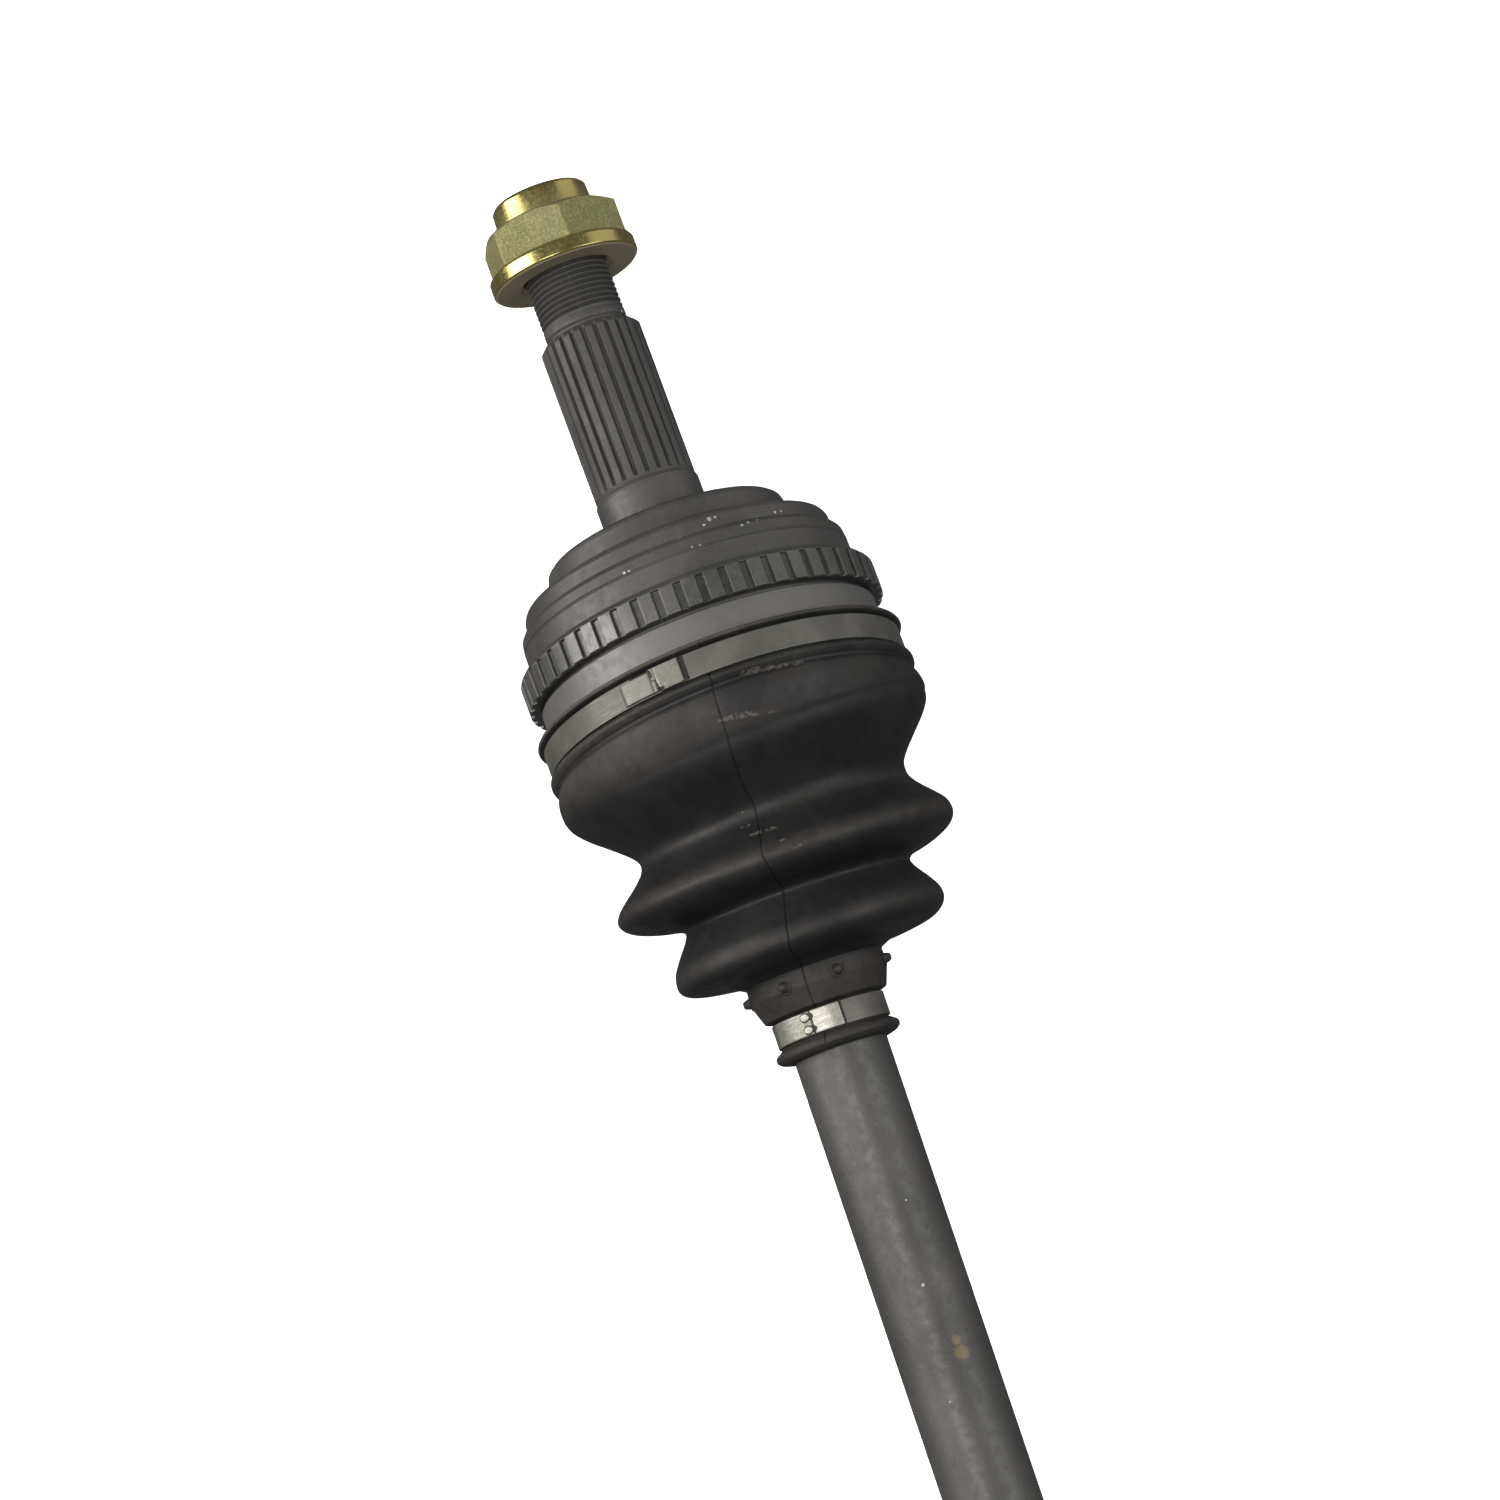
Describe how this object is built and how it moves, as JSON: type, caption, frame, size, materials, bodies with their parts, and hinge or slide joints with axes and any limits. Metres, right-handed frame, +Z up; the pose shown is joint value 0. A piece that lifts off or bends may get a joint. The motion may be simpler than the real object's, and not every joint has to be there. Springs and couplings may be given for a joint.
{
  "type": "cv axle shaft",
  "caption": "Front-drive half shaft: splined, threaded wheel spindle with a fixed ball joint, solid bar, plunging tripod joint, ribbed rubber boots with clamps and a toothed speed ring.",
  "frame": {"origin": "centre of the plane that the shaft lies on, midway between its two ends, under the bar's axis", "axes": "+Z up from that plane, +X along the bar from the wheel end to the gearbox end, +Y to the left of that direction"},
  "size_m": [0.613, 0.1012, 0.1021],
  "materials": {
    "painted_steel": "satin dark grey paint over forged steel",
    "zinc_yellow": "yellow passivated zinc plating",
    "ring_steel": "satin dark grey paint over sintered steel",
    "bearing_steel": "ground bearing steel, lightly greased",
    "spring_steel": "oiled black spring steel",
    "boot_rubber": "matte moulded black rubber with dusty ridges",
    "clamp_steel": "rolled stainless band"
  },
  "bodies": {
    "axle": {"axle_bar": "painted_steel", "inner_race": "bearing_steel", "race_circlip": "spring_steel", "outer_boot": "boot_rubber", "outer_boot_small_clamp": "clamp_steel", "tripod_spider": "bearing_steel", "spider_circlips": "spring_steel", "needles_left": "bearing_steel", "needles_right": "bearing_steel", "roller_retainers": "spring_steel", "inner_boot_small_clamp": "clamp_steel"},
    "yaw_ball_left": {"pivot_ball_left": "bearing_steel"},
    "cage": {"ball_cage": "bearing_steel", "cage_balls": "bearing_steel"},
    "yaw_ball_right": {"pivot_ball_right": "bearing_steel"},
    "wheel_end": {"outer_joint_housing": "painted_steel", "tone_ring": "ring_steel", "spindle_nut": "zinc_yellow", "outer_boot_large_clamp": "clamp_steel"},
    "roller_1": {"roller_top": "bearing_steel"},
    "roller_2": {"roller_left": "bearing_steel"},
    "roller_3": {"roller_right": "bearing_steel"},
    "needle_set": {"needles_top": "bearing_steel"},
    "gearbox_boot": {"inner_boot": "boot_rubber"},
    "gearbox_end": {"inner_joint_housing": "painted_steel", "inner_boot_large_clamp": "clamp_steel", "stub_circlip": "spring_steel"}
  },
  "joints": [
    {"name": "wheel_steer", "type": "hinge", "parent": "axle", "child": "yaw_ball_left", "pos_m": [-0.17148, 0, 0.04969], "axis": [0, 0, 1], "range_deg": [-16, 16], "deforming": ["outer_boot"]},
    {"name": "wheel_swing", "type": "hinge", "parent": "yaw_ball_left", "child": "cage", "pos_m": [-0.17148, 0, 0.04969], "axis": [0, 1, 0], "range_deg": [-3, 12], "deforming": ["outer_boot"]},
    {"name": "wheel_swing_half", "type": "hinge", "parent": "cage", "child": "yaw_ball_right", "pos_m": [-0.17148, 0, 0.04969], "axis": [0, 1, 0], "range_deg": [-3, 12]},
    {"name": "wheel_steer_half", "type": "hinge", "parent": "yaw_ball_right", "child": "wheel_end", "pos_m": [-0.17148, 0, 0.04969], "axis": [-0.1736, 0, 0.9848], "range_deg": [-16, 16]},
    {"name": "gearbox_yaw", "type": "hinge", "parent": "axle", "child": "needle_set", "pos_m": [0.17852, 0, 0.04969], "axis": [0, 0, 1], "range_deg": [-8, 8], "deforming": ["inner_boot"]},
    {"name": "gearbox_swing", "type": "hinge", "parent": "needle_set", "child": "gearbox_boot", "pos_m": [0.17852, 0, 0.04969], "axis": [0, 1, 0], "range_deg": [-14, 14], "deforming": ["inner_boot"]},
    {"name": "plunge", "type": "slide", "parent": "gearbox_boot", "child": "gearbox_end", "axis": [1, 0, 0], "range_m": [-0.014, 0.01], "deforming": ["inner_boot"]},
    {"name": "roller_top_spin", "type": "hinge", "parent": "axle", "child": "roller_1", "pos_m": [0.17852, 0, 0.07569], "axis": [0, 0, 1], "range_deg": [-60, 60]},
    {"name": "roller_left_spin", "type": "hinge", "parent": "axle", "child": "roller_2", "pos_m": [0.17852, 0.02252, 0.03669], "axis": [0, 0.866, -0.5], "range_deg": [-60, 60]},
    {"name": "roller_right_spin", "type": "hinge", "parent": "axle", "child": "roller_3", "pos_m": [0.17852, -0.02252, 0.03669], "axis": [0, -0.866, -0.5], "range_deg": [-60, 60]}
  ],
  "couplings": [
    {"joint": "wheel_swing_half", "follows": "wheel_swing", "ratio": 1},
    {"joint": "wheel_steer_half", "follows": "wheel_steer", "ratio": 1},
    {"joint": "roller_top_spin", "follows": "plunge", "rad_per_m": 62.5},
    {"joint": "roller_left_spin", "follows": "plunge", "rad_per_m": 62.5},
    {"joint": "roller_right_spin", "follows": "plunge", "rad_per_m": 62.5}
  ]
}
